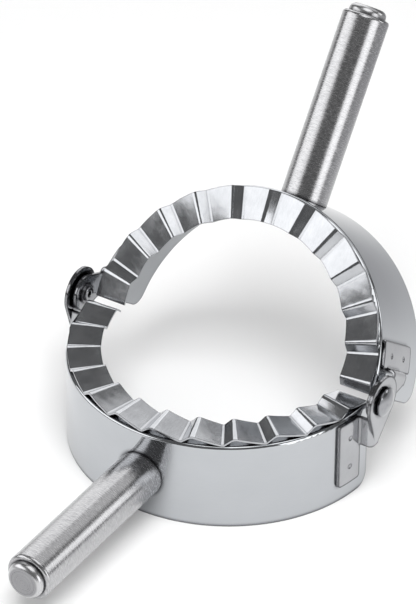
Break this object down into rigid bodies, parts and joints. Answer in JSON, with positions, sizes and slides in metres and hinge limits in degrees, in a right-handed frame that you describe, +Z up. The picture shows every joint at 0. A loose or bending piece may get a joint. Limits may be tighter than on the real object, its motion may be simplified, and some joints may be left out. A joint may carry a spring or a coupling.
{
  "type": "dough crimping press",
  "caption": "Hinged press for crimping filled dough pockets: half-round steel walls with sawtooth crimping rings and round handles, folding shut on each other.",
  "frame": {"origin": "middle of the front wall's lower edge, where the front half stands on the table, halfway through the sheet", "axes": "+Z up; +X along the hinge line, to the right seen from the front handle; +Y from the front handle towards the hinge line and the rear half"},
  "size_m": [0.1384, 0.2384, 0.1368],
  "materials": {
    "wall_steel": "mirror-polished stainless steel",
    "ring_steel": "bright pressed stainless steel",
    "handle_steel": "stainless steel brushed round the tube",
    "cap_steel": "turned stainless steel",
    "plate_steel": "bright stainless sheet",
    "rivet_steel": "polished steel",
    "washer_steel": "plain steel"
  },
  "bodies": {
    "front_half": {"ear_spacer_left": "washer_steel", "ear_spacer_right": "washer_steel", "front_crimp_ring": "ring_steel", "front_handle_cap": "cap_steel", "front_handle_tube": "handle_steel", "front_hinge_plate_left": "plate_steel", "front_hinge_plate_right": "plate_steel", "front_wall": "wall_steel", "head_washer_left": "washer_steel", "head_washer_right": "washer_steel", "hinge_rivet_left": "rivet_steel", "hinge_rivet_right": "rivet_steel", "tail_washer_left": "washer_steel", "tail_washer_right": "washer_steel"},
    "rear_half": {"rear_crimp_ring": "ring_steel", "rear_handle_cap": "cap_steel", "rear_handle_tube": "handle_steel", "rear_hinge_plate_left": "plate_steel", "rear_hinge_plate_right": "plate_steel", "rear_wall": "wall_steel"}
  },
  "joints": [
    {"name": "fold", "type": "hinge", "parent": "front_half", "child": "rear_half", "pos_m": [0, 0.0596, 0.03816], "axis": [1, 0, 0], "range_deg": [-53, 127]}
  ]
}
